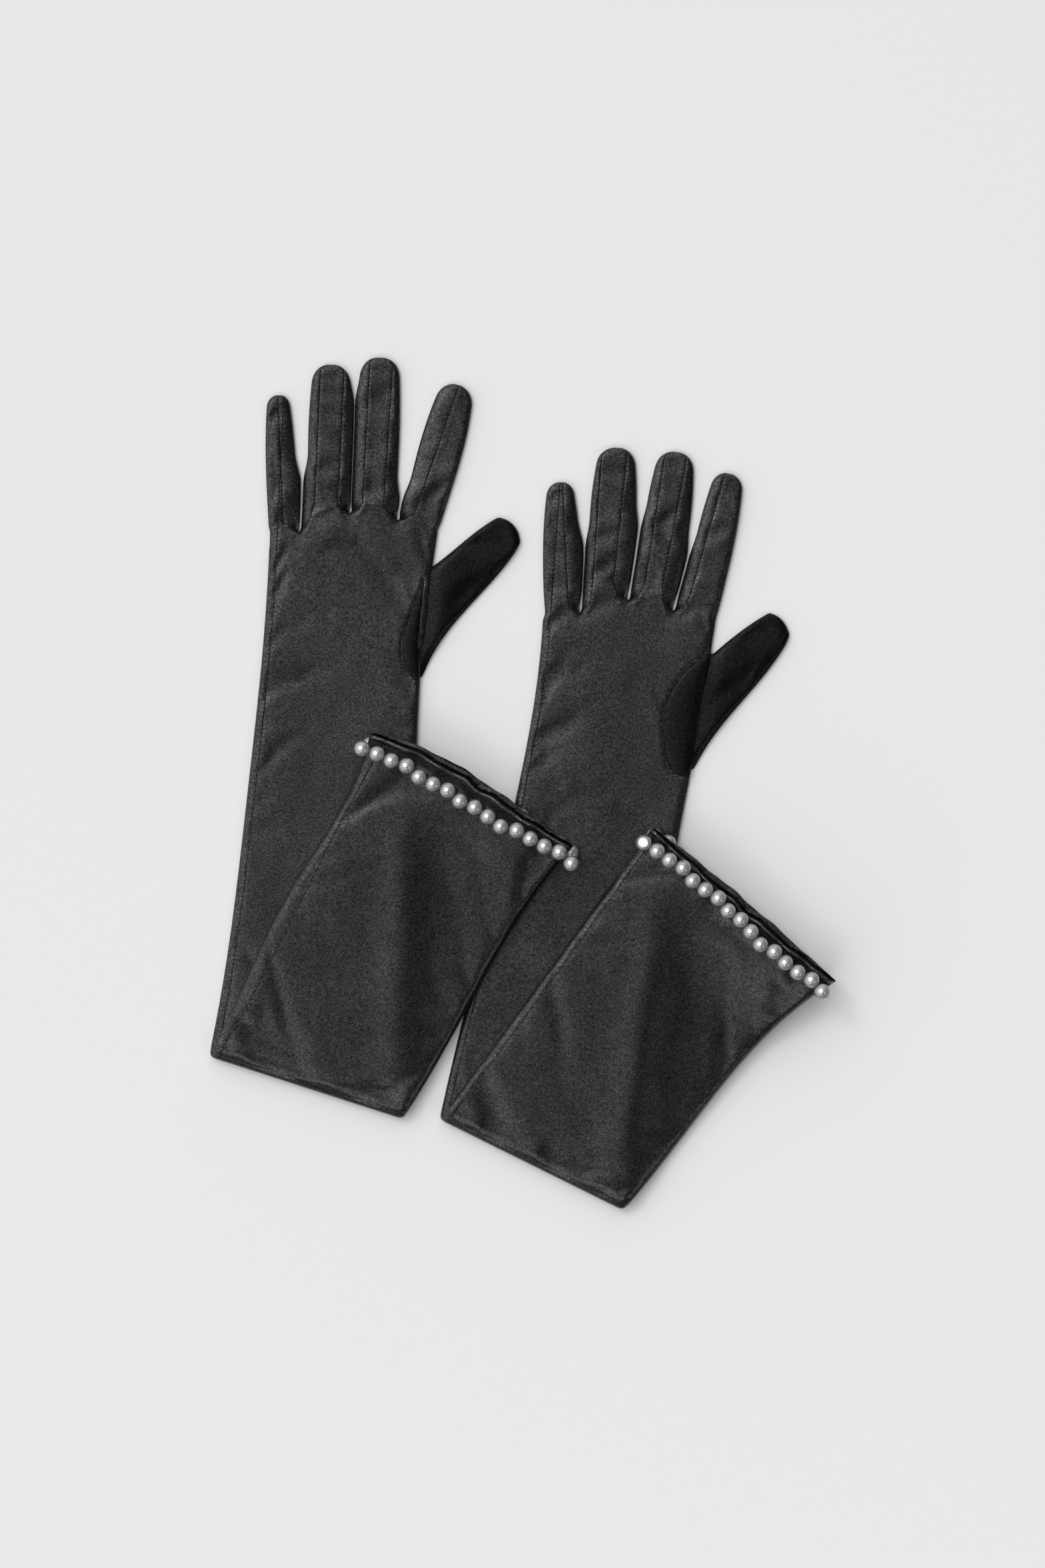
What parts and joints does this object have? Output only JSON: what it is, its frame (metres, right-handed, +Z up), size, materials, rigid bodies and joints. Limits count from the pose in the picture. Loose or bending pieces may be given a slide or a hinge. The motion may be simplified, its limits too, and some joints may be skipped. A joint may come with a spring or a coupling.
{
  "type": "pair of opera gloves",
  "caption": "Pair of long satin opera gloves laid flat, each arm folded back over itself with a pearl-edged cuff on top; fingers, thumbs and wrists bend and the arms unfold.",
  "frame": {"origin": "middle of the pair's footprint, at table height", "axes": "+X from the back-up glove to the palm-up glove, +Y towards the finger tips, +Z up from the table"},
  "size_m": [0.3189, 0.4324, 0.0302],
  "materials": {
    "satin": "satin",
    "side_strip_satin": "satin",
    "hem_satin": "satin",
    "thread": "satin",
    "pearl": "gloss"
  },
  "bodies": {
    "right_arm": {"right_arm_trank": "satin", "right_arm_side_seam": "thread"},
    "right_hand": {"right_hand_trank": "satin", "right_thumb_gusset": "side_strip_satin", "right_thumb_seam": "thread", "right_hand_side_seam": "thread"},
    "right_cuff": {"right_folded_sleeve": "satin", "right_cuff_hem": "hem_satin", "right_pearls": "pearl", "right_pearl_threads": "thread", "right_cuff_side_seam": "thread"},
    "right_thumb": {"right_thumb_sheath": "satin"},
    "right_index": {"right_index_finger": "satin", "right_index_outer_fourchette": "side_strip_satin"},
    "right_middle": {"right_middle_finger": "satin", "right_middle_outer_fourchette": "side_strip_satin", "right_middle_inner_fourchette": "side_strip_satin"},
    "right_ring": {"right_ring_finger": "satin", "right_ring_outer_fourchette": "side_strip_satin", "right_ring_inner_fourchette": "side_strip_satin"},
    "right_little": {"right_little_finger": "satin", "right_little_inner_fourchette": "side_strip_satin"},
    "left_arm": {"left_arm_trank": "satin", "left_arm_side_seam": "thread"},
    "left_hand": {"left_hand_trank": "satin", "left_thumb_gusset": "side_strip_satin", "left_thumb_seam": "thread", "left_hand_side_seam": "thread"},
    "left_cuff": {"left_folded_sleeve": "satin", "left_cuff_hem": "hem_satin", "left_pearls": "pearl", "left_pearl_threads": "thread", "left_cuff_side_seam": "thread"},
    "left_thumb": {"left_thumb_sheath": "satin"},
    "left_index": {"left_index_finger": "satin", "left_index_outer_fourchette": "side_strip_satin"},
    "left_middle": {"left_middle_finger": "satin", "left_middle_outer_fourchette": "side_strip_satin", "left_middle_inner_fourchette": "side_strip_satin"},
    "left_ring": {"left_ring_finger": "satin", "left_ring_outer_fourchette": "side_strip_satin", "left_ring_inner_fourchette": "side_strip_satin"},
    "left_little": {"left_little_finger": "satin", "left_little_inner_fourchette": "side_strip_satin"}
  },
  "joints": [
    {"name": "right_wrist_bend", "type": "hinge", "parent": "right_arm", "child": "right_hand", "pos_m": [0.04, 0.0016, 0.0032], "axis": [0.9749, -0.2225, 0], "range_deg": [0, 75]},
    {"name": "right_arm_unfold", "type": "hinge", "parent": "right_arm", "child": "right_cuff", "pos_m": [0.0044, -0.19555, 0.0034], "axis": [0.896, -0.4442, 0], "range_deg": [0, 171]},
    {"name": "right_thumb_bend", "type": "hinge", "parent": "right_hand", "child": "right_thumb", "pos_m": [0.0916, 0.0341, 0.0032], "axis": [-0.169, -0.9856, 0], "range_deg": [0, 90]},
    {"name": "right_index_bend", "type": "hinge", "parent": "right_hand", "child": "right_index", "pos_m": [0.09145, 0.09199, 0.0032], "axis": [0.9777, -0.2098, 0], "range_deg": [0, 90]},
    {"name": "right_middle_bend", "type": "hinge", "parent": "right_hand", "child": "right_middle", "pos_m": [0.06982, 0.09806, 0.0032], "axis": [0.9922, -0.1245, 0], "range_deg": [0, 90]},
    {"name": "right_ring_bend", "type": "hinge", "parent": "right_hand", "child": "right_ring", "pos_m": [0.04467, 0.10059, 0.0032], "axis": [0.9986, -0.0535, 0], "range_deg": [0, 90]},
    {"name": "right_little_bend", "type": "hinge", "parent": "right_hand", "child": "right_little", "pos_m": [0.02125, 0.0956, 0.0032], "axis": [0.9996, 0.029, 0], "range_deg": [0, 90]},
    {"name": "left_glove_lift", "type": "slide", "parent": "right_arm", "child": "left_arm", "axis": [0, 0, 1], "range_m": [0, 0.12]},
    {"name": "left_wrist_bend", "type": "hinge", "parent": "left_arm", "child": "left_hand", "pos_m": [-0.0925, 0.0336, 0.0032], "axis": [0.9956, -0.0937, 0], "range_deg": [0, 75]},
    {"name": "left_arm_unfold", "type": "hinge", "parent": "left_arm", "child": "left_cuff", "pos_m": [-0.1105, -0.1563, 0.0034], "axis": [0.9517, -0.307, 0], "range_deg": [0, 171]},
    {"name": "left_thumb_bend", "type": "hinge", "parent": "left_hand", "child": "left_thumb", "pos_m": [-0.0504, 0.079, 0.0032], "axis": [-0.0479, -0.9989, 0], "range_deg": [0, 90]},
    {"name": "left_index_bend", "type": "hinge", "parent": "left_hand", "child": "left_index", "pos_m": [-0.0521, 0.13293, 0.0032], "axis": [0.9656, -0.2599, 0], "range_deg": [0, 70]},
    {"name": "left_middle_bend", "type": "hinge", "parent": "left_hand", "child": "left_middle", "pos_m": [-0.07485, 0.1401, 0.0032], "axis": [0.9996, -0.0296, 0], "range_deg": [0, 90]},
    {"name": "left_ring_bend", "type": "hinge", "parent": "left_hand", "child": "left_ring", "pos_m": [-0.09835, 0.1401, 0.0032], "axis": [0.9999, -0.0103, 0], "range_deg": [0, 90]},
    {"name": "left_little_bend", "type": "hinge", "parent": "left_hand", "child": "left_little", "pos_m": [-0.12122, 0.12959, 0.0032], "axis": [0.999, 0.0442, 0], "range_deg": [0, 90]}
  ]
}
